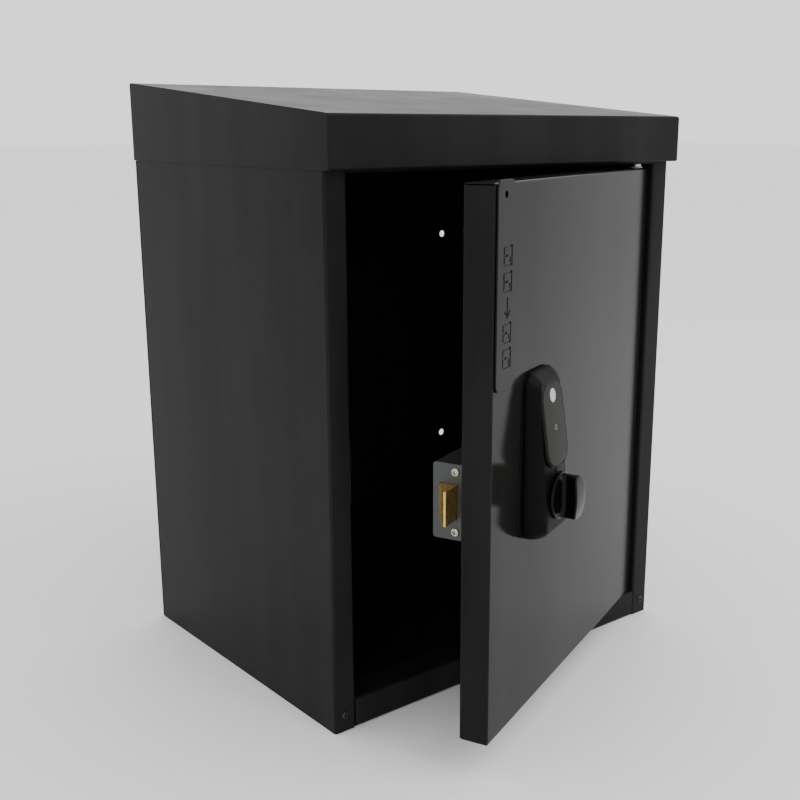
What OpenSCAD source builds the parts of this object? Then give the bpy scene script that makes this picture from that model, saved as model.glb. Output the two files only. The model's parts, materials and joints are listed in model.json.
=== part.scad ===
// Parcel drop box: a folded sheet steel cabinet with a sloping roof, a door on two pins,
// and a keypad rim latch. X runs to the right, Y to the back and Z up.
// The origin is the middle of the base's underside.

/* [Cabinet] */
// Width over the side panels
body_w = 440; // [380:5:560]
// Depth from the stiles' front to the back panel
body_d = 345; // [280:5:450]
// Height at the back, roof included
body_h = 590; // [540:5:780]
// Thickness of the cabinet's sheet
sheet_t = 1.5; // [1.2:0.1:2]
// Inside radius of every fold
fold_r = 1; // [0.8:0.1:1.5]
// Width of a stile's front face
stile_w = 23; // [20:1:32]
// Depth of the flange behind a stile
stile_d = 28; // [24:1:32]
// Height of the sill
sill_h = 28.5; // [25:0.5:40]
// Depth of the sill and of the head rail
rail_d = 35; // [30:1:50]
// Width of the side panels' back flanges
back_flange = 14; // [10:1:14]
// Height of the floor's upturned edges
floor_flange = 20; // [12:1:24]

/* [Roof] */
// Height that the roof falls from back to front
roof_fall = 32; // [16:1:60]
// Height of the front skirt
skirt_h = 45.5; // [40:0.5:70]
// How far the roof stands out in front
roof_lap = 10.5; // [8:0.5:20]
// Thickness of the roof's sheet
roof_t = 1.2; // [1:0.1:1.5]
// Reach of the corner tabs along the side skirts
tab_w = 14; // [10:1:20]
// Depth of the skirt's inward lip
skirt_lip = 7; // [4:0.5:8]

/* [Wall mounting] */
// Sideways spacing of the wall holes
wall_dx = 397.2; // [320:0.2:399]
// Upright spacing of the wall holes
wall_dz = 266; // [150:1:300]
// Height of the lower wall holes
wall_z = 146.7; // [100:0.1:200]
// Diameter of the wall holes
wall_hole = 8.5; // [6:0.5:10]
// Width of a back rail
back_rail_w = 28; // [20:1:40]
// Depth of a back rail
back_rail_d = 8; // [5:0.5:12]
// Distance from the middle to a back rail's centre
back_rail_x = 158; // [80:1:170]
// Height of the back rails' lower ends
back_rail_z = 117; // [60:1:140]

/* [Door] */
// Angle that the door stands open
door_open = 22.5; // [0:0.5:105]
// Depth of the door
door_t = 27; // [24:0.5:32]
// Thickness of the door's sheet
skin_t = 1.2; // [1:0.1:1.5]
// Width of the lips behind the door
door_lip = 13; // [10:1:20]
// Gap on the latch side
latch_gap = 3; // [2:0.5:5]
// Gap on the hinge side
hinge_gap = 7; // [6:0.5:10]
// Gap over the sill
foot_gap = 1.7; // [1.7:0.1:4]
// Gap under the head rail
top_gap = 3.6; // [3:0.1:6]
// Diameter of a hinge pin
pin_d = 7; // [5:0.5:7.5]
// From the pin's axis to the door's hinge edge
pin_edge = 7.8; // [7.8:0.1:9]
// From the pin's axis to the door's front
pin_depth = 10; // [9:0.5:11]

/* [Sign plate] */
// Width of the sign plate
sign_w = 33; // [28:1:36]
// Length of the sign plate
sign_h = 167.2; // [120:0.1:172]
// Height of the plate's top above the door's top edge
sign_over = 2.2; // [-5:0.1:3]
// Thickness of the sign plate
sign_t = 1.5; // [1:0.1:2]

/* [Lock] */
// From the door's free edge to the knob's axis
lock_x = 91.6; // [85:0.1:120]
// From the knob's axis to the latch's end face
backset = 60; // [50:1:70]
// Height of the knob's axis over the door's foot
lock_z = 205.3; // [150:0.1:260]
// Width of the lock's cover at its foot
cover_w = 69.4; // [64:0.2:80]
// Width of the lock's cover at its top
cover_top_w = 61; // [56:0.5:72]
// Height of the lock's cover
cover_h = 148; // [140:1:170]
// Wall of the cover and of the latch case
case_t = 2; // [1.5:0.1:2.5]
// Diameter of the outer knob
knob_d = 42.6; // [36:0.5:44]
// Length of the knob's blade, out from the cover
blade_l = 17.5; // [15:0.5:30]
// Width of the knob's blade
blade_w = 22; // [10:0.5:24]
// Width of the latch case
case_w = 88; // [84:1:110]
// Height of the latch case
case_h = 68.5; // [64:0.5:80]
// Depth of the latch case
case_d = 43.2; // [40:0.2:50]
// Height of the latch bolt
bolt_h = 31.5; // [26:0.5:36]
// Thickness of the latch bolt
bolt_t = 16.5; // [10:0.5:17]
// How far the bolt stands out
bolt_throw = 21; // [20:0.5:24]

/* [Hidden] */
$fn = 48;

black = "#26282a";
dark = "#1b1c1d";
steel = "#9a9c9e";

arc_steps = 8;
touch = 0.1;                     // clearance between pieces that lie against each other
nest = 0.4;                      // clearance of a sheet's edge that sits in another sheet's fold
run = 0.05;                      // radial running clearance of a pin in its bush

// Cabinet planes
y_front = -body_d/2;
y_back = body_d/2;
x_side = body_w/2;
x_open = x_side - stile_w;       // half the width of the door opening
x_in = x_side - sheet_t;
skirt_z = body_h - roof_fall - skirt_h;
slope = atan2(roof_fall, body_d + roof_lap);
head_z = skirt_z - 2.6;          // underside of the head rail
y_inside = y_back - 2*sheet_t;   // front of the side panels' back flanges
sill_side = x_open - 0.5;        // half the width of the sill's front
lap_y = stile_d + 3;             // the floor is at full width behind this depth

// Door
door_w = 2*x_open - latch_gap - hinge_gap;
door_z = sill_h + foot_gap;
door_h = head_z - top_gap - door_z;
pin_x = x_open - hinge_gap - pin_edge;
pin_y = y_front + pin_depth;
bush_r = pin_d/2 + 1.3;
bush_flange = 1;
pin_foot_r = pin_d/2 - 1;
liner_y = door_t - skin_t;       // the liner's outer face, behind the lips

// Stile screws and bolts in general
screw_r = 2;
screw_head_r = 3.8;
hole_fit = 0.15;
stile_screw_x = x_side - 11;
stile_screw_z = 16.5;
stud_y = 20;
stud_dx = 240;
nut_r = 4.2;
nut_h = 3.2;

// Lock
cover_z = lock_z - 37.3;         // foot of the cover
cover_mid = 23.2;                  // how far the cover stands off at the knob
cover_brow = 11.8;                 // and at its top
corner_r = 14;
gasket_t = 1;
neck_r = 9;
spindle_w = 6;
face_x = lock_x - backset;       // the latch case's end face
case_z = lock_z - case_h/2 - 0.6;
latch_drop = 0.5;                // the bolt's middle below the spindle
bolt_z = lock_z - latch_drop - bolt_h/2;
bolt_y = liner_y + 20.3;         // the bolt's flat side
cam_r = 17;                      // from the spindle to the cam's finger
cam_swing = 35;                  // the finger's lean towards the bolt at rest
finger_r = 2.5;
cam_y = bolt_y + 4.5;
cam_t = 4;
arm_r = 16;                      // from the spindle to the pin that presses on the spring
spring_x = lock_x + 13.6;
spring_r = 4;
spring_wire = 1;
spring_turns = 9;
spring_z = case_z + case_t;
guide_l = 11;
face_screw_dz = 27;
face_screw_zs = [lock_z - latch_drop - face_screw_dz, lock_z - latch_drop + face_screw_dz];
lock_screw_dz = 25;
plate_t = 2;
knob_y = -gasket_t - cover_mid - 1.6;

// Battery unit
cell_d = 14.5;
cell_l = 50.5;
cell_pitch = 15;
tray_w = 4*cell_pitch + 6;
tray_z = case_z + case_h + 4;
tray_h = 72;
tray_d = 22;

panel_tilt = 8.27;
panel_w = 46;
panel_h = 75;
panel_z = lock_z + 63.9;          // middle of the touch panel
panel_y = -18.75;                 // its face at the middle

// ---- Folded sheet -------------------------------------------------------------------

function unit(a, b) = (b - a)/norm(b - a);
function left(d) = [-d[1], d[0]];
function spin(v, a) = [v[0]*cos(a) - v[1]*sin(a), v[0]*sin(a) + v[1]*cos(a)];

// Points of one fold, on the line that lies `off` to the left of the path a, b, c
function fold(a, b, c, t, off) =
    let (u = unit(a, b), v = unit(b, c),
         way = sign(u[0]*v[1] - u[1]*v[0]),
         r = way > 0 ? fold_r + t : fold_r,
         turn = acos(u*v),
         mid = b - u*r*tan(turn/2) + way*left(u)*r)
    [for (i = [0:arc_steps]) mid - way*spin(left(u)*(r - way*off), way*turn*i/arc_steps)];

// One face of the sheet, end to end
function face(p, t, off) =
    let (n = len(p) - 1)
    concat([p[0] + left(unit(p[0], p[1]))*off],
           [for (i = [1:n - 1]) each fold(p[i - 1], p[i], p[i + 1], t, off)],
           [p[n] + left(unit(p[n - 1], p[n]))*off]);

function reversed(list) = [for (i = [len(list) - 1:-1:0]) list[i]];

// A sheet of thickness t that lies to the left of its path, folded at every corner
module folded(path, t) polygon(concat(face(path, t, 0), reversed(face(path, t, t))));

// Carries an outline drawn in Y and Z along X, from x0 to x1
module along_x(x0, x1) translate([x0, 0, 0]) rotate([90, 0, 90]) linear_extrude(x1 - x0) children();

module box(low, high) translate(low) cube(high - low);

// A round bar from a point, along +X, +Y or +Z
module bar_x(p, r, l) translate(p) rotate([0, 90, 0]) cylinder(r = r, h = l);
module bar_y(p, r, l) translate(p) rotate([-90, 0, 0]) cylinder(r = r, h = l);
module bar_z(p, r, l) translate(p) cylinder(r = r, h = l);

module hex_nut(r, h, bore) difference() {
    cylinder(r = r, h = h, $fn = 6);
    translate([0, 0, -1]) cylinder(r = bore, h = h + 2);
}

// A blind rivet or low screw whose shank points along +Y from the sheet's face at p
module button_y(p, head_r, head_h, shank_r, shank_l) translate(p) rotate([90, 0, 0]) rotate_extrude()
    polygon(concat([[0, -shank_l], [shank_r, -shank_l], [shank_r, 0], [head_r, 0]],
                   [for (i = [0:4]) [head_r*cos(i*20), head_h*(0.35 + 0.65*sin(i*20))]],
                   [[0, head_h]]));

// ---- Cabinet ------------------------------------------------------------------------

// Height of the roof's underside over a point at depth y
function under_roof(y) = body_h - roof_t/cos(slope) - (y_back - y)*tan(slope) - nest;

// Right-hand side panel, stile and back flange, folded from one sheet
module side_sheet() difference() {
    linear_extrude(body_h) folded([[x_open, y_front + stile_d], [x_open, y_front],
                                   [x_side, y_front], [x_side, y_back - sheet_t - touch],
                                   [x_side - back_flange, y_back - sheet_t - touch]], sheet_t);
    along_x(0, body_w) polygon([for (y = [y_front - 5, y_back + 5]) [y, under_roof(y)],
                                [y_back + 5, 2*body_h], [y_front - 5, 2*body_h]]);
    bar_y([stile_screw_x, y_front - 1, stile_screw_z], screw_r + hole_fit, sheet_t + 2);
    bar_y([rear_stud_x, y_inside - 2, rear_stud_z], screw_r + hole_fit, 6);
}

module side_panel_left() color(black) mirror([1, 0, 0]) side_sheet();

module side_panel_right() color(black) side_sheet();

wall_xs = [-wall_dx/2, wall_dx/2];
wall_zs = [wall_z, wall_z + wall_dz];
rail_xs = [-back_rail_x, back_rail_x];
back_rail_top = skirt_z - 8;
rivet_zs = [back_rail_z + 13.5, back_rail_top - 48];
rivet_r = 2.4;
rear_stud_x = x_side - back_flange/2 - 1;
rear_stud_z = skirt_z + 18;

module back_panel() color(black) difference() {
    box([-x_side + 0.3, y_back - sheet_t, 0], [x_side - 0.3, y_back, skirt_z - 0.3]);
    for (x = wall_xs, z = wall_zs) bar_y([x, y_back - sheet_t - 1, z], wall_hole/2, sheet_t + 2);
    for (x = rail_xs, z = rivet_zs) bar_y([x, y_back - sheet_t - 1, z], rivet_r + hole_fit, sheet_t + 2);
}

floor_x = x_in - touch;
floor_back = y_back - 2*sheet_t - 2*touch;   // outer face of the floor's rear edge
tab_x = [x_open + sheet_t + fold_r + touch, x_in - fold_r - touch];

// Floor and sill with a tab behind the foot of each stile
module base_pan() color(black) {
    floor_sheet();
    for (s = [0, 1]) mirror([s, 0, 0]) stile_tab();
}

module floor_sheet() difference() {
    union() {
        along_x(-floor_x, floor_x)
            folded([[y_front + rail_d, sill_h - 11], [y_front + rail_d, sill_h], [y_front, sill_h],
                    [y_front, 0], [floor_back, 0], [floor_back, floor_flange]], sheet_t);
        for (s = [0, 1]) mirror([s, 0, 0])
            box([floor_x - sheet_t, y_front + lap_y, 0], [floor_x, floor_back - 4, floor_flange]);
    }
    for (s = [0, 1]) mirror([s, 0, 0]) {
        // the sill stops at the stile, and the floor is cut round the stile's flange
        box([sill_side, y_front - 1, sheet_t], [body_w, y_front + rail_d + 1, sill_h + 1]);
        box([sill_side, y_front - 1, -1], [tab_x[0], y_front + lap_y, sheet_t + 1]);
        box([sill_side, y_front - 1, -1], [body_w, y_front + sheet_t + touch, sheet_t + 1]);
        box([tab_x[1], y_front - 1, -1], [body_w, y_front + lap_y, sheet_t + 1]);
        box([tab_x[1], floor_back - 4, -1], [body_w, y_back, floor_flange + 1]);
        bar_z([pin_x, pin_y, sill_h - 5], pin_foot_r + hole_fit, 10);
    }
}

// Tab that stands on the floor behind the stile's foot
module stile_tab() difference() {
    box([tab_x[0], y_front + sheet_t + touch, 0],
        [tab_x[1], y_front + 2*sheet_t + touch, stile_screw_z + 12]);
    bar_y([stile_screw_x, y_front, stile_screw_z], screw_r + hole_fit, 8);
}

module head_rail() color(black) difference() {
    along_x(-x_in + touch, x_in - touch)
        folded([[y_front + rail_d, under_roof(y_front + rail_d)], [y_front, under_roof(y_front)],
                [y_front, head_z], [y_front + rail_d, head_z],
                [y_front + rail_d, head_z + 11]], sheet_t);
    for (s = [0, 1]) mirror([s, 0, 0]) {
        box([sill_side, y_front - 1, head_z - 1], [body_w, y_front + lap_y, body_h]);
        bar_z([pin_x, pin_y, head_z - 5], pin_foot_r + hole_fit, 10);
    }
    for (x = [-stud_dx/2, stud_dx/2]) on_roof(x) cylinder(r = screw_r + hole_fit, h = 20, center = true);
}

// Places children on the roof's underside at a stud, pointing down and square to the sheet
module on_roof(x) translate([x, y_front + stud_y, under_roof(y_front + stud_y) + nest])
    rotate([slope, 0, 0]) mirror([0, 0, 1]) children();

skirt_x = x_side + touch + roof_t;   // outer face of the side skirts

// Outline of the roof from the side, as tall as its skirts
module roof_side(inset) polygon([[y_front - roof_lap + inset, skirt_z], [y_back - inset, skirt_z],
    [y_back - inset, body_h - inset], [y_front - roof_lap + inset, body_h - roof_fall - inset]]);

module roof_cover() color(black) {
    top = [[y_back, skirt_z], [y_back, body_h], [y_front - roof_lap, body_h - roof_fall],
           [y_front - roof_lap, skirt_z],
           [y_front - roof_lap + skirt_lip, skirt_z]];
    along_x(-skirt_x, skirt_x) folded(top, roof_t);
    for (x = [-skirt_x, skirt_x - roof_t]) along_x(x, x + roof_t) roof_side(0.6);
    // tabs that lap from the front skirt onto the side skirts
    for (s = [0, 1]) mirror([s, 0, 0]) along_x(skirt_x, skirt_x + roof_t)
        polygon([[y_front - roof_lap, skirt_z + 0.6], [y_front - roof_lap, body_h - roof_fall - 1],
                 [y_front - roof_lap + tab_w, body_h - roof_fall - 13],
                 [y_front - roof_lap + tab_w, skirt_z + 13]]);
}

// Two studs under the roof and two inside its back skirt
module roof_studs() color(steel) {
    for (x = [-stud_dx/2, stud_dx/2]) on_roof(x) cylinder(r = screw_r, h = 14);
    for (x = [-rear_stud_x, rear_stud_x]) bar_y([x, y_back - 12, rear_stud_z], screw_r, 12 - roof_t);
}

module roof_nuts() color(steel) {
    for (x = [-stud_dx/2, stud_dx/2])
        on_roof(x) translate([0, 0, nest + sheet_t + touch]) hex_nut(nut_r, nut_h, screw_r + hole_fit);
    for (x = [-rear_stud_x, rear_stud_x]) translate([x, y_inside - 2*touch, rear_stud_z])
        rotate([90, 0, 0]) hex_nut(nut_r, nut_h, screw_r + hole_fit);
}

// A channel that stiffens the back panel, open to the front
module back_rail(x) difference() {
    translate([0, 0, back_rail_z]) linear_extrude(back_rail_top - back_rail_z)
        folded([[x + back_rail_w/2, y_back - sheet_t - touch - back_rail_d],
                [x + back_rail_w/2, y_back - sheet_t - touch], [x - back_rail_w/2, y_back - sheet_t - touch],
                [x - back_rail_w/2, y_back - sheet_t - touch - back_rail_d]], sheet_t);
    for (z = rivet_zs) bar_y([x, y_back - 8, z], rivet_r + hole_fit, 8);
}

module back_rail_left() color(black) back_rail(-back_rail_x);

module back_rail_right() color(black) back_rail(back_rail_x);

module rail_rivets() color(dark) for (x = rail_xs, z = rivet_zs)
    button_y([x, y_back - 2*sheet_t - touch, z], 4.2, 1.6, rivet_r, 2*sheet_t + touch);

module stile_screws() color(dark) for (s = [-1, 1])
    button_y([s*stile_screw_x, y_front, stile_screw_z], screw_head_r, 1.9, screw_r, 9);

module stile_nuts() color(steel) for (s = [-1, 1])
    translate([s*stile_screw_x, y_front + 2*sheet_t + 2*touch, stile_screw_z]) rotate([-90, 0, 0])
        hex_nut(nut_r, nut_h, screw_r + hole_fit);

// ---- Latch side: stop strip and keep -------------------------------------------------

strip_t = 1.2;
strip_reach = 11;
strip_z = [sill_h + 6, head_z - 6];
strip_x = -x_open - sheet_t - nest;          // the strip lies inside the stile
strip_y = y_front + stile_d + nest;
buffer_t = strip_y - y_front - door_t;

module stop_strip() color(black) translate([0, 0, strip_z[0]]) linear_extrude(strip_z[1] - strip_z[0])
    folded([[strip_x, y_front + 8], [strip_x, strip_y], [-x_open + strip_reach, strip_y]], strip_t);

module door_buffers() color("#101010") for (z = [strip_z[0] + 20, strip_z[1] - 20])
    bar_y([-x_open + strip_reach - 5, strip_y - buffer_t + 0.1, z], 3.5, buffer_t - 0.1);

keep_t = 2.5;
keep_y = y_front + bolt_y - 1.5;             // the face that the bolt bears on
keep_reach = 51;
keep_h = 62;
keep_leg = 44;
keep_z = door_z + lock_z - keep_h/2;
keep_stud_y = keep_y + keep_leg - 14;
keep_stud_zs = [keep_z + 12, keep_z + keep_h - 12];

module keep_bracket() color(steel) difference() {
    translate([0, 0, keep_z]) linear_extrude(keep_h)
        folded([[-x_in + touch, keep_y + keep_leg], [-x_in + touch, keep_y - keep_t],
                [-x_in + keep_reach, keep_y - keep_t]], keep_t);
    for (z = keep_stud_zs) bar_x([-x_in - 1, keep_stud_y, z], screw_r + hole_fit, 6);
}

module keep_studs() color(steel) for (z = keep_stud_zs) bar_x([-x_in, keep_stud_y, z], screw_r, 9);

module keep_nuts() color(steel) for (z = keep_stud_zs)
    translate([-x_in + 2*touch + keep_t, keep_stud_y, z]) rotate([0, 90, 0])
        hex_nut(nut_r, nut_h, screw_r + hole_fit);

// ---- Hinge ---------------------------------------------------------------------------

collar_h = foot_gap - bush_flange - 0.1;

// A shouldered pin: threaded foot, collar and bearing length, pointing up
module hinge_pin(collar, bearing) {
    translate([0, 0, -8]) cylinder(r = pin_foot_r, h = 8.1);
    cylinder(r = bush_r, h = collar);
    cylinder(r = pin_d/2, h = collar + bearing);
}

module hinge_pin_lower() color(steel) translate([pin_x, pin_y, sill_h]) hinge_pin(collar_h, 12);

module hinge_pin_upper() color(steel) translate([pin_x, pin_y, head_z]) mirror([0, 0, 1])
    hinge_pin(top_gap - bush_flange - 0.1, 12);

module hinge_nuts() color(steel) {
    translate([pin_x, pin_y, sill_h - sheet_t - 4]) hex_nut(6, 4, pin_foot_r + hole_fit);
    translate([pin_x, pin_y, head_z + sheet_t]) hex_nut(6, 4, pin_foot_r + hole_fit);
}

// ---- Door ----------------------------------------------------------------------------

// The door's own frame: X from its free edge, Y in from its front face, Z up from its foot
module on_door() translate([pin_x, pin_y, door_z]) rotate(door_open)
    translate([pin_edge - door_w, -pin_depth, 0]) children();

corner_gap = 2;
screw_spots = [lock_z - lock_screw_dz, lock_z + lock_screw_dz];
sign_x = 2.4;
sign_z = door_h - sign_h + sign_over;
sign_lift = 0.8;
sign_hole_x = sign_x + 15;
sign_hole_z = sign_z + sign_h - 11.3;
sign_studs = [[sign_x + sign_w/2, sign_z + 22], [sign_x + sign_w/2, sign_z + sign_h - 32]];
stud_r = 1.5;
cable_z = lock_z + 70;

// Holes through the door for the lock: spindle, screws and cable
module lock_holes(y0, l) {
    bar_y([lock_x, y0, lock_z], spindle_w, l);
    for (z = screw_spots) bar_y([lock_x, y0, z], screw_r + hole_fit, l);
    bar_y([lock_x, y0, cable_z], 5, l);
}

module door_skin() color("#3a3e3c") on_door() difference() {
    union() {
        translate([0, 0, corner_gap]) linear_extrude(door_h - 2*corner_gap)
            folded([[door_lip, door_t], [0, door_t], [0, 0], [door_w, 0], [door_w, door_t],
                    [door_w - door_lip, door_t]], skin_t);
        along_x(corner_gap + 0.3, door_w - corner_gap - 0.3)
            folded([[door_t, door_h - door_lip], [door_t, door_h], [0, door_h], [0, 0],
                    [door_t, 0], [door_t, door_lip]], skin_t);
    }
    lock_holes(-1, 4);
    for (p = sign_studs) bar_y([p[0], -1, p[1]], stud_r + hole_fit, 4);
    for (p = liner_rivets) bar_y([p[0], liner_y - 4, p[1]], door_rivet_r + hole_fit, 8);
    for (z = [-1, door_h - 3]) bar_z([door_w - pin_edge, pin_depth, z], bush_r + touch, 4);
}

door_rivet_r = 1.6;
liner_rivets = [for (x = [door_lip/2 + 1, door_w - door_lip/2 - 1], i = [0:3]) [x, 30 + i*(door_h - 60)/3]];

module door_liner() color(black) on_door() difference() {
    box([skin_t + 1.6, liner_y - skin_t, skin_t + 1.6],
        [door_w - skin_t - 1.6, liner_y - touch, door_h - skin_t - 1.6]);
    lock_holes(liner_y - 4, 8);
    for (p = liner_rivets) bar_y([p[0], liner_y - 4, p[1]], door_rivet_r + hole_fit, 8);
}

module door_rivets() color(dark) on_door() for (p = liner_rivets)
    translate([p[0], door_t, p[1]]) mirror([0, 1, 0])
        button_y([0, 0, 0], 3, 1, door_rivet_r, 2*skin_t + touch);

// A hat channel that fills the door's depth behind the lock
channel_w = 58;
channel_z = [cover_z + 4, tray_z + tray_h - 6];

module lock_channel() color(steel) on_door() difference() {
    translate([0, 0, channel_z[0]]) linear_extrude(channel_z[1] - channel_z[0])
        folded([[lock_x - channel_w/2, liner_y - skin_t - touch], [lock_x - channel_w/2, skin_t + touch],
                [lock_x + channel_w/2, skin_t + touch],
                [lock_x + channel_w/2, liner_y - skin_t - touch]], 1.5);
    lock_holes(0, 6);
}

module bush() difference() {
    union() {
        translate([0, 0, -bush_flange]) cylinder(r = bush_r + 1.2, h = bush_flange);
        cylinder(r = bush_r, h = 11);
    }
    translate([0, 0, -2]) cylinder(r = pin_d/2 + run, h = 14);
}

module hinge_bush_lower() color("#d8d4c4") on_door() translate([door_w - pin_edge, pin_depth, 0]) bush();

module hinge_bush_upper() color("#d8d4c4") on_door() translate([door_w - pin_edge, pin_depth, door_h])
    mirror([0, 0, 1]) bush();

// ---- Sign plate ------------------------------------------------------------------------

module rounded(w, h, r) translate([r, r]) {
    difference() {
        translate([-r, -r]) square([w, h]);
        for (x = [-r, w - 2*r], z = [-r, h - 2*r]) translate([x, z]) square(r);
    }
    for (x = [0, w - 2*r], z = [0, h - 2*r]) translate([x, z]) circle(r);
}

mark_s = 16.4;
mark_line = 1.6;
mark_pitch = 20.5;
mark_depth = 0.8;

module bar(w, h) square([w, h], center = true);

// A parcel: an open square with a tape line and a label
module parcel_mark() {
    difference() {
        bar(mark_s, mark_s);
        bar(mark_s - 2*mark_line, mark_s - 2*mark_line);
    }
    translate([0, mark_s/4]) bar(mark_line, mark_s/2);
    translate([-mark_s/4 + 0.6, -mark_s/4]) bar(4, mark_line);
}

// An arrow that points along +Y
module arrow_mark() {
    bar(mark_line, mark_s);
    for (s = [-1, 1]) translate([0, mark_s/2]) rotate(s*135) translate([0, mark_s/4 - mark_line/2])
        bar(mark_line, mark_s/2);
}

module sign_plate() color("#3a3e3c") on_door() {
    translate([sign_x, -sign_lift, sign_z]) rotate([90, 0, 0]) difference() {
        linear_extrude(sign_t) difference() {
            rounded(sign_w, sign_h, 7.5);
            translate([sign_hole_x - sign_x, sign_hole_z - sign_z]) circle(2.8);
        }
        translate([sign_w/2 + 3, 67.5, sign_t - mark_depth]) linear_extrude(sign_t) for (i = [-2:2])
            translate([0, i*mark_pitch]) rotate(90) if (i == 0) rotate(90) arrow_mark(); else parcel_mark();
    }
    for (p = sign_studs) {
        bar_y([p[0], -sign_lift - 0.1, p[1]], stud_r, 6.9);
        bar_y([p[0], -sign_lift - 0.1, p[1]], 3, sign_lift + 0.1);
    }
}

module sign_nuts() color(steel) on_door() for (p = sign_studs)
    translate([p[0], skin_t, p[1]]) rotate([-90, 0, 0]) hex_nut(3.2, 2.4, stud_r + hole_fit);

// ---- Lock, outside ----------------------------------------------------------------------

// The cover's outline, drawn in X and Z round the lock's middle line
module lock_slab(inset, y, t, top_w, foot_w, z0, z1) hull()
    for (s = [-1, 1]) {
        bar_y([lock_x + s*(foot_w/2 - corner_r), y, z0 + corner_r], corner_r - inset, t, $fn = 32);
        bar_y([lock_x + s*(top_w/2 - corner_r), y, z1 - corner_r], corner_r - inset, t, $fn = 32);
    }

// The crowned body of the cover, drawn in by `inset` all round
module lock_body(inset) hull() {
    for (s = [-1, 1]) {
        bar_y([lock_x + s*(cover_w/2 - corner_r), -8, cover_z + corner_r], corner_r - inset, 7, $fn = 32);
        bar_y([lock_x + s*(cover_top_w/2 - corner_r), -6, cover_z + cover_h - corner_r],
              corner_r - inset, 5, $fn = 32);
        bar_y([lock_x + s*(cover_w/2 - corner_r - 3), inset - gasket_t - cover_mid, cover_z + corner_r + 2],
              corner_r - 3, 4, $fn = 32);
        bar_y([lock_x + s*(cover_w/2 - corner_r - 4), inset - gasket_t - cover_mid, lock_z + 16.4],
              corner_r - 4, 4, $fn = 32);
        bar_y([lock_x + s*(cover_top_w/2 - corner_r - 4), inset - gasket_t - cover_brow,
               cover_z + cover_h - corner_r - 2], corner_r - 4, 4, $fn = 32);
    }
}

module lock_gasket() color("#101010") on_door() difference() {
    lock_slab(1.5, -gasket_t, gasket_t, cover_top_w, cover_w, cover_z, cover_z + cover_h);
    lock_holes(-4, 6);
}

module lock_base() color(steel) on_door() difference() {
    union() {
        lock_slab(case_t + 1.2, -gasket_t - 2, 2, cover_top_w, cover_w, cover_z, cover_z + cover_h);
        for (z = screw_spots) bar_y([lock_x, -gasket_t - 10, z], 4, 9);
    }
    bar_y([lock_x, -20, lock_z], neck_r - 1, 22);
    for (z = screw_spots) bar_y([lock_x, -gasket_t - 9, z], screw_r + hole_fit, 12);
    bar_y([lock_x, -20, cable_z], 5, 22);
}

// Places children on the touch panel's tilted face, with Z out of it and Y up
module on_panel() translate([lock_x, panel_y, panel_z]) rotate([90 - panel_tilt, 0, 0]) children();

module panel_blank(grow, t) translate([0, 0, -t]) linear_extrude(t + 12*grow) translate([-panel_w/2 - grow,
    -panel_h/2 - grow]) rounded(panel_w + 2*grow, panel_h + 2*grow, 16 + grow);

module lock_cover() color(dark) on_door() difference() {
    lock_body(0);
    lock_body(case_t);
    lock_slab(case_t, -9, 12, cover_top_w, cover_w, cover_z, cover_z + cover_h);
    on_panel() panel_blank(0.15, 1.4);
    bar_y([lock_x, -40, lock_z], neck_r + 0.1, 50);
}

disc_r = 6.1;
disc_y = 25;

module touch_panel() color(dark) on_door() on_panel() difference() {
    panel_blank(0, 1.3);
    translate([0, disc_y, -0.5]) cylinder(r = disc_r + touch, h = 2);
}

module status_disc() color("#b8bcc0") on_door() on_panel()
    translate([0, disc_y, -0.5]) cylinder(r = disc_r, h = 0.4);

module control_board() color("#1f5a35") on_door() difference() {
    box([lock_x - 18, -gasket_t - 7, lock_z + 34], [lock_x + 18, -gasket_t - 5.4, lock_z + 92]);
    bar_y([lock_x, -12, cable_z], 4, 12);
}

module clutch_motor() color(steel) on_door() {
    translate([lock_x - 22, -9, lock_z - 12]) cylinder(r = 4, h = 20);
    translate([lock_x - 22, -9, lock_z + 8]) cylinder(r = 1.5, h = 6);
}

module lock_screws() color(steel) on_door() for (z = screw_spots) {
    bar_y([lock_x, -gasket_t - 8, z], screw_r, gasket_t + 8 + liner_y + plate_t + 0.1);
    bar_y([lock_x, liner_y + plate_t, z], 3.6, 2.4);
}

// ---- Knobs, spindle and cam ----------------------------------------------------------------

// A knob whose blade stands upright, pointing along -Y
module knob(r, foot_t, blade_w, blade_len) {
    rotate([90, 0, 0]) cylinder(r = r, h = foot_t);
    rotate([90, 0, 0]) intersection() {
        cylinder(r = r - 0.6, h = foot_t + blade_len);
        translate([-blade_w/2, -r, 0]) cube([blade_w, 2*r, foot_t + blade_len]);
    }
}

module outer_knob() color(dark) on_door() difference() {
    translate([lock_x, knob_y + 1.5, lock_z]) {
        knob(knob_d/2, 2.8, blade_w, blade_l);
        rotate([-90, 0, 0]) cylinder(r = neck_r, h = 12);
    }
    box([lock_x - spindle_w/2 - touch, -24, lock_z - spindle_w/2 - touch],
        [lock_x + spindle_w/2 + touch, 0, lock_z + spindle_w/2 + touch]);
}

spindle_end = cam_y + cam_t + 5;
hub_end = spindle_end + 0.1;

module spindle() color(steel) on_door()
    box([lock_x - spindle_w/2, -23.8, lock_z - spindle_w/2],
        [lock_x + spindle_w/2, spindle_end, lock_z + spindle_w/2]);

function cam_point(r, a) = [lock_x + r*sin(a), lock_z + r*cos(a)];
finger = cam_point(cam_r, -cam_swing);
arm_pin = cam_point(arm_r, 90 - cam_swing);

module cam_arm(a, r, tip_r) hull() {
    bar_y([lock_x, cam_y - cam_t, lock_z], 7, cam_t - 0.4, $fn = 32);
    bar_y([cam_point(r, a)[0], cam_y - cam_t, cam_point(r, a)[1]], tip_r, cam_t - 0.4, $fn = 32);
}

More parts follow.
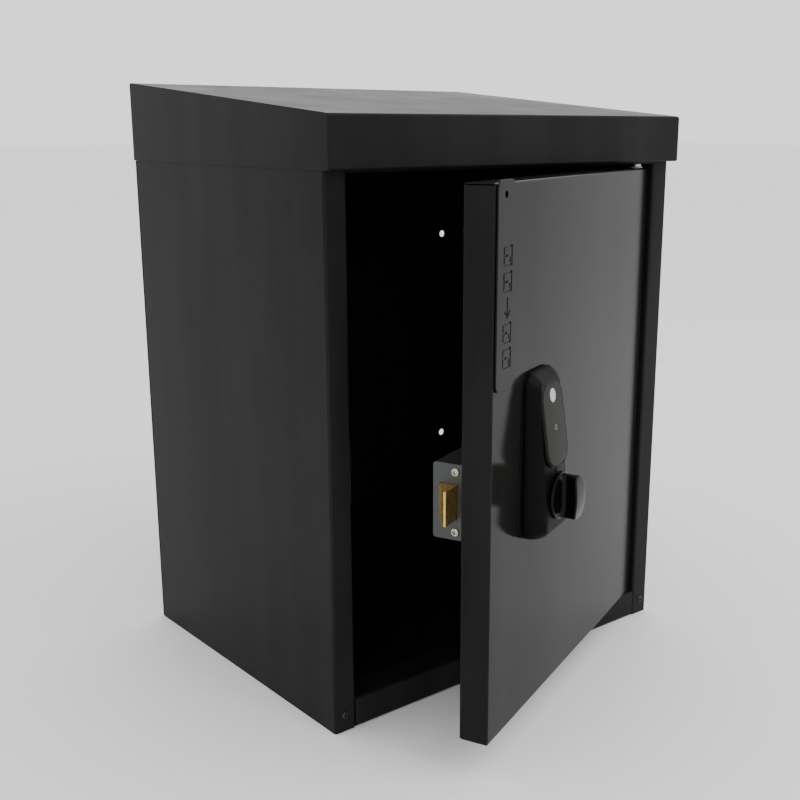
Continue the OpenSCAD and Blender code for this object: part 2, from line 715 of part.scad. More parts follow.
module latch_cam() color(steel) on_door() difference() {
    union() {
        cam_arm(-cam_swing, cam_r, 4);
        cam_arm(90 - cam_swing, arm_r, 3);
        bar_y([lock_x, cam_y - cam_t - 2, lock_z], 8, hub_end - cam_y + cam_t + 2);
        bar_y([finger[0], cam_y - cam_t, finger[1]], finger_r, 2*cam_t);
        bar_y([arm_pin[0], cam_y - cam_t, arm_pin[1]], finger_r, cam_t + 10);
    }
    box([lock_x - spindle_w/2 - touch, 0, lock_z - spindle_w/2 - touch],
        [lock_x + spindle_w/2 + touch, hub_end + 1, lock_z + spindle_w/2 + touch]);
}

module inner_knob() color(dark) on_door() {
    translate([lock_x, liner_y + case_d + 0.5, lock_z]) mirror([0, 1, 0]) knob(16, 4, 10, 16);
    bar_y([lock_x, hub_end + touch, lock_z], 8, liner_y + case_d + 0.6 - hub_end - touch);
}

// ---- Latch --------------------------------------------------------------------------------

module latch_plate() color(steel) on_door() difference() {
    box([face_x + case_t + 1, liner_y, case_z + case_t + 1],
        [face_x + case_w - case_t - 1, liner_y + plate_t, case_z + case_h - case_t - 1]);
    lock_holes(liner_y - 1, plate_t + 2);
}

module latch_case() color(steel) on_door() difference() {
    translate([face_x, 0, 0]) along_x(0, case_w)
        translate([liner_y, case_z]) rounded(case_d, case_h, 3);
    box([face_x + case_t, liner_y - 4, case_z + case_t],
        [face_x + case_w - case_t, liner_y + case_d - case_t, case_z + case_h - case_t]);
    box([face_x - 1, bolt_y - 0.3, bolt_z - 0.3],
        [face_x + case_t + 1, bolt_y + bolt_t + 0.3, bolt_z + bolt_h + 0.3]);
    for (z = face_screw_zs) bar_x([face_x - 1, bolt_y + 2, z], screw_r + hole_fit, 5);
    bar_y([lock_x, liner_y + case_d - 5, lock_z], 8.1, 8);
}

module bolt_guide() color("#77797b") on_door() difference() {
    box([face_x + case_t + touch, bolt_y - 4, case_z + case_t + 1],
        [face_x + case_t + guide_l, liner_y + case_d - case_t - touch, case_z + case_h - case_t - 1]);
    box([face_x, bolt_y - 0.2, bolt_z - 0.2], [face_x + 30, bolt_y + bolt_t + 0.2, bolt_z + bolt_h + 0.2]);
    for (z = face_screw_zs) bar_x([face_x, bolt_y + 2, z], screw_r + hole_fit, 20);
}

module face_screws() color("#c8cacc") on_door() for (z = face_screw_zs)
    translate([face_x, bolt_y + 2, z]) rotate([0, 0, -90])
        button_y([0, 0, 0], screw_head_r, 1.6, screw_r, 11);

bolt_tail = finger[0] + 6;

// The bolt's end is bevelled on the side that meets the keep first
module latch_bolt() color("#b5893a") on_door() difference() {
    union() {
        translate([0, 0, bolt_z]) linear_extrude(bolt_h)
            polygon([[face_x + 26, bolt_y], [face_x - bolt_throw, bolt_y],
                     [face_x - bolt_throw, bolt_y + 2.2], [face_x - 1.2, bolt_y + bolt_t],
                     [face_x + 26, bolt_y + bolt_t]]);
        box([face_x + 25, cam_y, finger[1] - 5.4], [bolt_tail, cam_y + cam_t, finger[1] + 10]);
    }
    // slot for the cam's finger
    box([finger[0] - finger_r - 0.4, cam_y - 1, finger[1] - 8],
        [finger[0] + finger_r + 0.4, cam_y + cam_t + 1, finger[1] + 6.4]);
}

// Points of the spring's wire, up a helix
spring_y = cam_y + 5;
spring_h = arm_pin[1] - finger_r - spring_z - spring_wire - 2*touch;
spring_rings = 90;
wire_sides = 8;

module return_spring() color("#c8cacc") on_door() {
    points = [for (i = [0:spring_rings], j = [0:wire_sides - 1])
        let (a = 360*spring_turns*i/spring_rings, b = 360*j/wire_sides,
             r = spring_r + spring_wire/2*cos(b))
        [spring_x + r*cos(a), spring_y + r*sin(a),
         spring_z + spring_wire/2 + touch + spring_h*i/spring_rings + spring_wire/2*sin(b)]];
    sides = [for (i = [0:spring_rings - 1], j = [0:wire_sides - 1])
        let (k = (j + 1)%wire_sides)
        [i*wire_sides + j, (i + 1)*wire_sides + j, (i + 1)*wire_sides + k, i*wire_sides + k]];
    polyhedron(points, concat(sides, [[for (j = [0:wire_sides - 1]) j]],
        [[for (j = [wire_sides - 1:-1:0]) spring_rings*wire_sides + j]]));
}

// ---- Battery unit -----------------------------------------------------------------------------

module battery_tray() color(dark) on_door() difference() {
    box([lock_x - tray_w/2, liner_y, tray_z], [lock_x + tray_w/2, liner_y + tray_d, tray_z + tray_h]);
    box([lock_x - tray_w/2 + 2, liner_y + 2, tray_z + 2],
        [lock_x + tray_w/2 - 2, liner_y + tray_d + 1, tray_z + tray_h - 2]);
    bar_y([lock_x, liner_y - 1, cable_z], 5, 4);
}

cell_y = liner_y + 3.5 + cell_d/2;
cell_z = tray_z + (tray_h - cell_l)/2;

module batteries() color("#8a6d3b") on_door() for (i = [0:3])
    translate([lock_x + (i - 1.5)*cell_pitch, cell_y, cell_z]) {
        cylinder(r = cell_d/2, h = cell_l - 1.2);
        cylinder(r = 2.6, h = cell_l);
    }

module battery_contacts() color("#c8cacc") on_door() for (i = [0:3], z = [tray_z + 2, cell_z + cell_l]) {
    h = z > cell_z ? tray_z + tray_h - 2 - z : cell_z - z;
    box([lock_x + (i - 1.5)*cell_pitch - 4, cell_y - 4, z + touch],
        [lock_x + (i - 1.5)*cell_pitch + 4, cell_y + 4, z + h - touch]);
}

module battery_cover() color(dark) on_door() difference() {
    box([lock_x - tray_w/2 - 2, liner_y + 0.3, tray_z], [lock_x + tray_w/2 + 2, liner_y + tray_d + 2.4,
         tray_z + tray_h + 2]);
    box([lock_x - tray_w/2 - 0.3, liner_y, tray_z - 1], [lock_x + tray_w/2 + 0.3, liner_y + tray_d + 0.4,
         tray_z + tray_h + 0.3]);
}

side_panel_left();
side_panel_right();
back_panel();
base_pan();
head_rail();
roof_cover();
roof_studs();
roof_nuts();
back_rail_left();
back_rail_right();
rail_rivets();
stile_screws();
stile_nuts();
stop_strip();
door_buffers();
keep_bracket();
keep_studs();
keep_nuts();
hinge_pin_lower();
hinge_pin_upper();
hinge_nuts();
door_skin();
door_liner();
door_rivets();
lock_channel();
hinge_bush_lower();
hinge_bush_upper();
sign_plate();
sign_nuts();
lock_gasket();
lock_base();
lock_cover();
touch_panel();
status_disc();
control_board();
clutch_motor();
lock_screws();
latch_plate();
latch_case();
bolt_guide();
face_screws();
return_spring();
battery_tray();
battery_contacts();
batteries();
outer_knob();
spindle();
latch_cam();
inner_knob();
latch_bolt();
battery_cover();
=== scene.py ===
"""Parcel drop box: the looks of a folded steel box with a keypad rim latch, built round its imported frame."""
import json
import math

import bmesh
import bpy
import numpy as np
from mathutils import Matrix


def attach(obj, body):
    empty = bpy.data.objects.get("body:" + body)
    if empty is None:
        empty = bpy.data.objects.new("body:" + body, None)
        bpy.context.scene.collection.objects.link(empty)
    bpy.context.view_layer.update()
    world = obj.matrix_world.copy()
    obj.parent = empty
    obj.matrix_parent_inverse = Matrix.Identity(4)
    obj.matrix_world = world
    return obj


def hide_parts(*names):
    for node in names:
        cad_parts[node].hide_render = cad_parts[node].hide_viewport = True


bl_info = {
    "name": "Parcel drop box",
    "version": (1, 0, 0),
    "blender": (4, 5, 0),
    "location": "View3D > Sidebar > Drop box",
    "description": "Builds the sheet metal, keypad lock, latch and finishes of a parcel drop box",
    "category": "Object",
}

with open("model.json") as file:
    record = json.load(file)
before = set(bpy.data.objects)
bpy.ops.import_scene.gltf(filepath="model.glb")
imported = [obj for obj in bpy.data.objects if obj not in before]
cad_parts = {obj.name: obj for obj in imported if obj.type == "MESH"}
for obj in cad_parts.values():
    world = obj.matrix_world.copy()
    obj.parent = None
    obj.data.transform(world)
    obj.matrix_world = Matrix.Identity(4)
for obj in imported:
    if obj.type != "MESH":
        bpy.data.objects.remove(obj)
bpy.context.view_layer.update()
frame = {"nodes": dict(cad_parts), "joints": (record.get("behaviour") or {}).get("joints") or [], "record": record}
MM = 0.001
CAMERA_PLACE = (-0.7544, -0.9542, 0.5486)
CAMERA_TURN = (90 - 14.28, -0.12, -39.98)
CAMERA_SHIFT = (-0.046, 0.016)


# ---- Places -----------------------------------------------------------------------------


def joint(name):
    return next(j for j in frame["joints"] if j["name"] == name)


def unit(v):
    v = np.array(v, float)
    return v / np.linalg.norm(v)


# The door's own axes: across it from the free edge, inwards through it, and up.
ACROSS = unit(joint("bolt_slide")["axis"])
INWARD = unit(joint("outer_turn")["axis"])
UP = np.array([0.0, 0.0, 1.0])
DOOR_AXES = np.array([ACROSS, INWARD, UP])
HINGE = np.array(joint("door_hinge")["pos_m"], float) * [1, 1, 0]


def to_world(points):
    """A place on the door: the hinge line plus each coordinate times its axis."""
    return HINGE + np.asarray(points, float) @ DOOR_AXES


def to_door(points):
    """The same the other way round: the distance from the hinge line along each of the door's axes."""
    return (np.asarray(points, float) - HINGE) @ DOOR_AXES.T


def node_points(node):
    mesh = frame["nodes"][node].data
    flat = np.empty(3 * len(mesh.vertices), np.float32)
    mesh.vertices.foreach_get("co", flat)
    return flat.reshape(-1, 3).astype(float)


def door_box(node):
    """A node's lowest and highest corner in the door's own axes."""
    points = to_door(node_points(node))
    return points.min(0), points.max(0)


def spot(name):
    """A joint's place in the door's own axes."""
    return to_door(joint(name)["pos_m"])


# ---- Surfaces ---------------------------------------------------------------------------


def new_piece(name, points, faces, finish, body, slot, replaces=(), smooth_angle=40):
    """A mesh object at the origin with its place in its mesh, riding on a body."""
    mesh = bpy.data.meshes.new(name)
    mesh.from_pydata(np.asarray(points, float).tolist(), [], faces)
    mesh.validate()
    piece = bpy.data.objects.new(name, mesh)
    bpy.context.scene.collection.objects.link(piece)
    settle(piece, smooth_angle)
    mesh.materials.append(finish)
    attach(piece, body)
    if replaces:
        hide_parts(*replaces)
    return piece


def settle(piece, smooth_angle=40, merge=1e-6):
    """Merges doubles, turns the faces outwards and smooths all but the sharp edges."""
    work = bmesh.new()
    work.from_mesh(piece.data)
    bmesh.ops.remove_doubles(work, verts=work.verts, dist=merge)
    bmesh.ops.recalc_face_normals(work, faces=work.faces)
    work.to_mesh(piece.data)
    work.free()
    piece.data.shade_smooth()
    piece.data.set_sharp_from_angle(angle=math.radians(smooth_angle))


def ring_faces(rings, count, shift=0):
    """Quads between closed rings that follow each other, each ring a run of `count` points."""
    i, j = np.meshgrid(np.arange(rings - 1), np.arange(count), indexing="ij")
    k = (j + 1) % count
    quads = np.stack([i * count + j, (i + 1) * count + j, (i + 1) * count + k, i * count + k], -1)
    return (quads.reshape(-1, 4) + shift).tolist()


def closed_skin(rings):
    """Rings (n, m, 3) as one closed surface, with a fan of triangles to the middle of each end."""
    n, m = rings.shape[:2]
    points = np.concatenate([rings.reshape(-1, 3), rings[[0, -1]].mean(1)])
    j = np.arange(m)
    k = (j + 1) % m
    first = np.stack([np.full(m, n * m), j, k], -1)
    last = np.stack([np.full(m, n * m + 1), (n - 1) * m + k, (n - 1) * m + j], -1)
    return points, ring_faces(n, m) + first.tolist() + last.tolist()


def looped_skin(rings):
    """Rings (n, m, 3) as one closed band: the last ring is joined to the first."""
    n, m = rings.shape[:2]
    return rings.reshape(-1, 3), (np.array(ring_faces(n + 1, m)) % (n * m)).tolist()


def joined(parts):
    """Several closed surfaces as one list of points and one of faces."""
    points, faces, start = [], [], 0
    for p, f in parts:
        points.append(p)
        faces += [[v + start for v in face] for face in f]
        start += len(p)
    return np.concatenate(points), faces


def rounded(corners, radius, steps):
    """An outline's corner circles: each corner's centre, and the unit directions of its arc.

    A point of the outline inset by d is centre + (radius - d) * direction."""
    corners = np.asarray(corners, float)
    before = unit_rows(np.roll(corners, 1, 0) - corners)
    after = unit_rows(np.roll(corners, -1, 0) - corners)
    half = np.arccos(np.clip((before * after).sum(1), -1, 1)) / 2
    centres = corners + unit_rows(before + after) * (radius / np.sin(half))[:, None]
    start = np.arctan2(before[:, 0], -before[:, 1])
    turn = math.pi - 2 * half
    angles = start[:, None] + np.linspace(0, 1, steps) * turn[:, None]
    directions = np.stack([np.cos(angles), np.sin(angles)], -1)
    return np.repeat(centres, steps, 0), directions.reshape(-1, 2)


def unit_rows(v):
    return v / np.linalg.norm(v, axis=-1, keepdims=True)


def rectangle(w, h):
    return [(-w / 2, -h / 2), (w / 2, -h / 2), (w / 2, h / 2), (-w / 2, h / 2)]


def plate_rings(corners, radius, profile, steps=16):
    """A rounded outline carried along a profile of (inset, depth) pairs, as rings (n, m, 3) of across,
    depth, up: each point is its corner's centre + (radius - inset) * direction."""
    centres, directions = rounded(corners, radius, steps)
    inset, depth = np.asarray(profile, float).T
    ring = centres + (radius - inset)[:, None, None] * directions
    height = np.broadcast_to(depth[:, None], ring.shape[:2])
    return np.stack([ring[..., 0], height, ring[..., 1]], -1)


def turned(profile, centre, axis, steps=32):
    """A profile of (radius, height) pairs turned about an axis through a centre, closed at both ends."""
    radius, height = np.asarray(profile, float).T
    axis = unit(axis)
    side = unit(np.cross(axis, [0.3, 0.5, 0.81]))
    other = np.cross(axis, side)
    a = np.linspace(0, 2 * math.pi, steps, endpoint=False)[None, :, None]
    round_about = np.cos(a) * side + np.sin(a) * other
    return closed_skin(centre + height[:, None, None] * axis + radius[:, None, None] * round_about)


def cross_head(centre, out, radius, height, slot_depth, turned_by=0.0):
    """A screw's pan head with a cross recess, with r from 0 at the middle to 1 at the rim: its height is
    0.3 + 0.7 * sqrt(1 - r ** 6) - 0.1 * r ** 2, and it sinks where a point lies in one of two crossed bars."""
    rings = np.concatenate([np.linspace(0.02, 0.62, 22), np.linspace(0.66, 1, 10)])
    a = np.linspace(0, 2 * math.pi, 96, endpoint=False)
    r, t = np.meshgrid(rings, a, indexing="ij")
    dome = height * (0.3 + 0.7 * np.sqrt(np.clip(1 - r**6, 0, 1)) - 0.1 * r**2)
    x, z = r * np.cos(t + turned_by), r * np.sin(t + turned_by)
    half_width, half_length, wall = 0.17, 0.52, 0.08
    upright = np.maximum(np.abs(x) - half_width, np.abs(z) - half_length)
    level = np.maximum(np.abs(z) - half_width, np.abs(x) - half_length)
    sink = slot_depth * np.clip(0.5 - np.minimum(upright, level) / wall, 0, 1) * (1 - 0.3 * r)
    side = unit(np.cross(out, UP))
    up = np.cross(side, out)
    top = centre + (dome - sink)[..., None] * out + radius * (x[..., None] * side + z[..., None] * up)
    foot = centre + radius * (np.cos(a + turned_by)[:, None] * side + np.sin(a + turned_by)[:, None] * up)
    back = foot - 0.2 * MM * unit(out)
    return closed_skin(np.concatenate([top, foot[None], back[None]]))


def softened(node, finish, width, segments=2, angle=32):
    """A merged copy of a CAD piece with a bevel on its edges and normals that keep its flat faces flat.
    It stands for the node, on the node's own body, with the finish it is given."""
    source = frame["nodes"][node]
    piece = bpy.data.objects.new(node + "_finished", source.data.copy())
    bpy.context.scene.collection.objects.link(piece)
    piece.data.materials.clear()
    piece.data.materials.append(finish)
    work = bmesh.new()
    work.from_mesh(piece.data)
    bmesh.ops.remove_doubles(work, verts=work.verts, dist=2e-6)
    bmesh.ops.dissolve_limit(work, angle_limit=math.radians(0.4), verts=work.verts, edges=work.edges)
    work.to_mesh(piece.data)
    work.free()
    piece.data.shade_smooth()
    piece.data.set_sharp_from_angle(angle=math.radians(angle))
    bevel = piece.modifiers.new("edge", "BEVEL")
    bevel.width = width
    bevel.segments = segments
    bevel.limit_method = "ANGLE"
    bevel.angle_limit = math.radians(angle)
    bevel.harden_normals = True
    bevel.use_clamp_overlap = True
    even = piece.modifiers.new("even normals", "WEIGHTED_NORMAL")
    even.keep_sharp = True
    even.weight = 80
    body = next(b for b, nodes in frame["record"]["behaviour"]["bodies"].items() if node in nodes)
    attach(piece, body)
    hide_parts(node)
    return piece


# ---- Finishes ---------------------------------------------------------------------------


class Signal:
    """A socket that can be added, taken away, multiplied and divided like a number."""

    def __init__(self, finish, socket):
        self.finish, self.socket = finish, socket

    def maths(self, operation, *values):
        return self.finish.node("ShaderNodeMath", {"operation": operation}, dict(enumerate(values)))

    def __add__(self, other): return self.maths("ADD", self, other)
    def __radd__(self, other): return self.maths("ADD", other, self)
    def __sub__(self, other): return self.maths("SUBTRACT", self, other)
    def __rsub__(self, other): return self.maths("SUBTRACT", other, self)
    def __mul__(self, other): return self.maths("MULTIPLY", self, other)
    def __rmul__(self, other): return self.maths("MULTIPLY", other, self)
    def __truediv__(self, other): return self.maths("DIVIDE", self, other)
    def __rtruediv__(self, other): return self.maths("DIVIDE", other, self)
    def __pow__(self, other): return self.maths("POWER", self, other)
    def __gt__(self, other): return self.maths("GREATER_THAN", self, other)
    def __lt__(self, other): return self.maths("LESS_THAN", self, other)
    def __abs__(self): return self.maths("ABSOLUTE", self)
    def least(self, other): return self.maths("MINIMUM", self, other)
    def most(self, other): return self.maths("MAXIMUM", self, other)

    def ramp(self, low, high, to_low=0.0, to_high=1.0):
        """A smooth step from to_low to to_high as the value goes from low to high."""
        return self.finish.node("ShaderNodeMapRange", {"interpolation_type": "SMOOTHSTEP"},
                                {0: self, 1: low, 2: high, 3: to_low, 4: to_high})


class Finish:
    """One material: a Principled shader and the nodes that feed it."""

    def __init__(self, name, **constants):
        self.material = bpy.data.materials.new(name)
        self.material.use_nodes = True
        self.tree = self.material.node_tree
        self.shader = self.tree.nodes["Principled BSDF"]
        self.place = self.node("ShaderNodeTexCoord", out="Object")
        self.feed(**constants)

    def node(self, kind, settings=None, values=None, out=0):
        """Adds a node of any type: its settings first, then its sockets' values or links."""
        new = self.tree.nodes.new(kind)
        for key, value in (settings or {}).items():
            if key == "stops":
                ramp = new.color_ramp
                while len(ramp.elements) < len(value):
                    ramp.elements.new(0.5)
                for element, (position, colour) in zip(ramp.elements, value):
                    element.position, element.color = position, (*colour, 1)
            else:
                setattr(new, key, value)
        for key, value in (values or {}).items():
            if isinstance(value, Signal):
                self.tree.links.new(value.socket, new.inputs[key])
            else:
                new.inputs[key].default_value = value
        return Signal(self, new.outputs[out])

    def feed(self, **sockets):
        """Sets the shader's own sockets: a number or colour stays a constant, a signal is linked."""
        for name, value in sockets.items():
            socket = self.shader.inputs[name.replace("_", " ")]
            if isinstance(value, Signal):
                self.tree.links.new(value.socket, socket)
            elif isinstance(value, (tuple, list)) and len(value) == 3:
                socket.default_value = (*value, 1)
            else:
                socket.default_value = value

    def noise(self, scale, detail=3.0, roughness=0.5, stretch=None):
        vector = self.place
        if stretch:
            vector = self.node("ShaderNodeMapping", values={"Vector": vector, "Scale": stretch})
        return self.node("ShaderNodeTexNoise", values={
            "Vector": vector, "Scale": scale, "Detail": detail, "Roughness": roughness})

    def mix(self, factor, first, second):
        """One colour turning into another as the factor goes from 0 to 1."""
        values = {0: factor}
        for key, colour in ((6, first), (7, second)):
            values[key] = (*colour, 1) if isinstance(colour, (tuple, list)) else colour
        return self.node("ShaderNodeMix", {"data_type": "RGBA"}, values, out=2)

    def bump(self, height, strength, distance):
        """Bumps of that height, added to any that are there."""
        values = {"Strength": strength, "Distance": distance, "Height": height}
        links = self.shader.inputs["Normal"].links
        if links:
            values["Normal"] = Signal(self, links[0].from_socket)
        self.feed(Normal=self.node("ShaderNodeBump", values=values))

    def along(self, axis):
        """The distance along a direction from the origin, from Object coordinates."""
        return self.node("ShaderNodeVectorMath", {"operation": "DOT_PRODUCT"},
                         {0: self.place, 1: tuple(float(v) for v in axis)}, out="Value")


FINISHES = {}


def finish(name):
    """The named finish, made the first time it is asked for."""
    if name not in FINISHES:
        FINISHES[name] = RECIPES[name]().material
    return FINISHES[name]


def powder_coat(name, colour, roughness, peel, gloss_index=1.135):
    """Powder coat: orange peel of a bit over a millimetre, fine grain, faint smudges of other gloss."""
    look = bpy.context.scene.drop_box_coat
    f = Finish(name, IOR=gloss_index)
    orange_peel = f.noise(look.peel_scale, 2.0, 0.45)
    grain = f.noise(look.peel_scale * 4.2, 2.0, 0.6)
    smudge = f.noise(7.0, 4.0, 0.6, (1.0, 1.0, 0.55))
    streak = f.noise(26.0, 3.0, 0.5, (1.0, 1.0, 0.06))
    tone = smudge * 0.6 + streak * 0.4
    low = tuple(c * 0.82 for c in colour)
    high = tuple(min(1.0, c * 1.25 + 0.002) for c in colour)
    f.feed(Base_Color=f.mix(tone.ramp(0.35, 0.65), low, high),
           Roughness=tone.ramp(0.3, 0.7, roughness * 0.88, roughness * 1.14))
    f.bump(orange_peel * 0.75 + grain * 0.25, peel, look.peel_depth)
    return f


def cabinet_coat():
    return powder_coat("cabinet_coat", bpy.context.scene.drop_box_coat.cabinet_colour, 0.34, 0.5)


def door_coat():
    return powder_coat("door_coat", bpy.context.scene.drop_box_coat.door_colour, 0.11, 0.2, 1.17)


def sign_coat():
    """The door's coat with painted shade, a darker colour, on whatever is cut deeper than a quarter of a
    millimetre.
    """
    f = powder_coat("sign_coat", bpy.context.scene.drop_box_coat.door_colour, 0.18, 0.2, 1.17)
    face = door_box("sign_plate")[0][1]
    # painted shade: a mask of the engraved floors below the plate's face
    depth = f.along(INWARD) - float(HINGE @ INWARD) - float(face)
    cut = depth.ramp(0.25 * MM, 0.6 * MM) * (1 - depth.ramp(1.0 * MM, 1.2 * MM))
    plain = Signal(f, f.shader.inputs["Base Color"].links[0].from_socket)
    # painted shade: the engraved floors get a darker colour than the plate's face
    f.feed(Base_Color=f.mix(cut, plain, (0.006, 0.006, 0.006)))
    return f


def fixing_black():
    f = Finish("fixing_black", Metallic=0.6, IOR=1.5)
    rub = f.noise(900.0, 3.0, 0.6)
    f.feed(Base_Color=f.mix(rub.ramp(0.4, 0.75), (0.012, 0.012, 0.012), (0.05, 0.05, 0.05)),
           Roughness=rub.ramp(0.3, 0.7, 0.3, 0.45))
    f.bump(rub, 0.15, 0.0002)
    return f


def plated(name, dark, light, roughness, scale, grain=(1, 1, 1)):
    """Plated or bare metal: clouds of two tones and fine rolling lines."""
    f = Finish(name, Metallic=1.0)
    cloud = f.noise(scale, 4.0, 0.6)
    line = f.noise(scale * 12, 3.0, 0.6, grain)
    f.feed(Base_Color=f.mix((cloud * 0.7 + line * 0.3).ramp(0.35, 0.65), dark, light),
           Roughness=(cloud * 0.5 + line * 0.5).ramp(0.3, 0.7, roughness * 0.8, roughness * 1.25))
    f.bump(line, 0.12, 0.0001)
    return f


def zinc():
    return plated("zinc", (0.42, 0.43, 0.45), (0.62, 0.62, 0.6), 0.32, 120.0)


def nickel():
    return plated("nickel", (0.4, 0.37, 0.32), (0.56, 0.52, 0.46), 0.3, 300.0)


def spring_steel():
    return plated("spring_steel", (0.38, 0.38, 0.4), (0.6, 0.6, 0.6), 0.25, 500.0)


def brass():
    """Drawn brass: lines along the bolt and random clouds of a darker and a lighter tone."""
    colour = bpy.context.scene.drop_box_latch.brass_colour
    f = Finish("brass", Metallic=0.85)
    lines = f.noise(420.0, 3.0, 0.5, (1.0, 1.0, 6.0))
    cloud = f.noise(50.0, 2.0, 0.5)
    dark = tuple(c * 0.86 for c in colour)
    f.feed(Base_Color=f.mix((lines * 0.4 + cloud * 0.6).ramp(0.35, 0.62), dark, tuple(colour)),
           Roughness=(lines * 0.5 + cloud * 0.5).ramp(0.3, 0.7, 0.2, 0.36))
    f.bump(lines, 0.2, 0.0001)
    return f


def case_lacquer():
    """Grey lacquer on pressed steel: fine speckle and slight handling marks."""
    f = Finish("case_lacquer", Metallic=0.35, IOR=1.5, Coat_Weight=0.1, Coat_Roughness=0.2)
    fleck = f.noise(2600.0, 2.0, 0.6)
    cloud = f.noise(60.0, 4.0, 0.6)
    colour = bpy.context.scene.drop_box_latch.case_colour
    dark = tuple(c * 0.75 for c in colour)
    f.feed(Base_Color=f.mix((fleck * 0.5 + cloud * 0.5).ramp(0.35, 0.65), dark, tuple(colour)),
           Roughness=cloud.ramp(0.3, 0.7, 0.32, 0.46))
    f.bump(fleck, 0.15, 0.0001)
    return f


def moulded(name, colour, roughness, grain_scale, grain_depth, gloss_index=1.4):
    """Moulded plastic: spark-eroded grain in the mould, slightly uneven gloss."""
    f = Finish(name, IOR=gloss_index)
    grain = f.node("ShaderNodeTexVoronoi", {"feature": "F1"},
                   {"Vector": f.place, "Scale": grain_scale}, out="Distance")
    fine = f.noise(grain_scale * 1.7, 2.0, 0.5)
    cloud = f.noise(35.0, 3.0, 0.6)
    dark, light = (tuple(c * k for c in colour) for k in (0.85, 1.15))
    f.feed(Base_Color=f.mix(cloud.ramp(0.35, 0.65), dark, light),
           Roughness=cloud.ramp(0.3, 0.7, roughness * 0.88, roughness * 1.12))
    f.bump(grain * 0.6 + fine * 0.4, grain_depth, 0.0002)
    return f


def lock_plastic():
    look = bpy.context.scene.drop_box_lock
    return moulded("lock_plastic", look.cover_colour, 0.4, 2600.0, 0.25, 1.13)


def knob_plastic():
    look = bpy.context.scene.drop_box_lock
    return moulded("knob_plastic", look.knob_colour, 0.14, 900.0, 0.04, 1.2)


def panel_glass():
    """The touch panel: a satin sheet with faint finger marks."""
    colour = bpy.context.scene.drop_box_lock.panel_colour
    f = Finish("panel_glass", IOR=1.13)
    marks = f.noise(55.0, 4.0, 0.65)
    fine = f.noise(1500.0, 2.0, 0.5)
    f.feed(Base_Color=f.mix(marks.ramp(0.35, 0.7), tuple(colour), tuple(c * 1.3 for c in colour)),
           Roughness=marks.ramp(0.3, 0.72, 0.3, 0.44))
    f.bump(fine, 0.08, 0.0001)
    return f


def light_disc():
    """A frosted light pipe: faint clouds in a pale plastic."""
    f = Finish("light_disc", IOR=1.45)
    cloud = f.noise(700.0, 2.0, 0.5)
    f.feed(Base_Color=f.mix(cloud.ramp(0.3, 0.7), (0.3, 0.31, 0.32), (0.42, 0.43, 0.44)),
           Roughness=cloud.ramp(0.3, 0.7, 0.25, 0.38))
    return f


def rubber():
    return moulded("rubber", (0.02, 0.02, 0.02), 0.7, 1400.0, 0.3)


def nylon():
    return moulded("nylon", (0.7, 0.68, 0.6), 0.45, 1200.0, 0.15)


def board():
    """A circuit board: solder resist with copper tracks under it and pale pads."""
    f = Finish("board", IOR=1.5, Coat_Weight=0.4, Coat_Roughness=0.1)
    across = f.along(ACROSS) * 420.0
    up = f.along(UP) * 420.0
    track = f.node("ShaderNodeTexVoronoi", {"feature": "F1", "distance": "CHEBYCHEV"},
                   {"Vector": f.place, "Scale": 260.0}, out="Distance")
    lines = (abs((across + up * 0.02).maths("FRACT", across) - 0.5) < 0.14) * (track > 0.35)
    f.feed(Base_Color=f.mix(lines, (0.012, 0.11, 0.045), (0.03, 0.2, 0.08)),
           Roughness=track.ramp(0.1, 0.6, 0.25, 0.4))
    f.bump(lines, 0.2, 0.0001)
    return f


def cell_foil():
    """A dry cell's wrapper: one band of copper colour over a dark band, with a fine sheen."""
    f = Finish("cell_foil", Metallic=0.7)
    low, high = door_box("batteries")
    height = (f.along(UP) - float(low[2])) / float(high[2] - low[2])
    band = height.ramp(0.66, 0.665)
    sheen = f.noise(200.0, 3.0, 0.6, (1.0, 1.0, 0.1))
    plain = f.mix(sheen.ramp(0.3, 0.7), (0.02, 0.02, 0.022), (0.035, 0.035, 0.04))
    f.feed(Base_Color=f.mix(band, plain, (0.6, 0.32, 0.13)), Roughness=sheen.ramp(0.3, 0.7, 0.2, 0.32))
    return f


RECIPES = {
    "cabinet_coat": cabinet_coat, "door_coat": door_coat, "sign_coat": sign_coat,
    "fixing_black": fixing_black, "zinc": zinc, "nickel": nickel, "spring_steel": spring_steel,
    "brass": brass, "case_lacquer": case_lacquer, "lock_plastic": lock_plastic,
    "knob_plastic": knob_plastic, "panel_glass": panel_glass, "light_disc": light_disc,
    "rubber": rubber, "nylon": nylon, "board": board, "cell_foil": cell_foil,
}

# The finish that a CAD node keeps when no finer piece stands for it.
SLOT_FINISH = {
    "cabinet_coat": "cabinet_coat", "door_coat": "door_coat", "black_fixings": "fixing_black",
    "zinc_steel": "zinc", "case_grey": "case_lacquer", "nickel": "nickel", "brass": "brass",
    "lock_black": "lock_plastic", "panel_black": "panel_glass", "knob_black": "knob_plastic",
    "disc_light": "light_disc", "rubber": "rubber", "bush_nylon": "nylon", "board_green": "board",
    "cell_wrap": "cell_foil",
}


# ---- Settings ---------------------------------------------------------------------------


def colour_prop(name, description, default):
    return bpy.props.FloatVectorProperty(name=name, description=description, subtype="COLOR",
                                         size=3, min=0, max=1, default=default)


def length_prop(name, description, default):
    return bpy.props.FloatProperty(name=name, description=description, default=default, min=0,
                                   unit="LENGTH", subtype="DISTANCE")


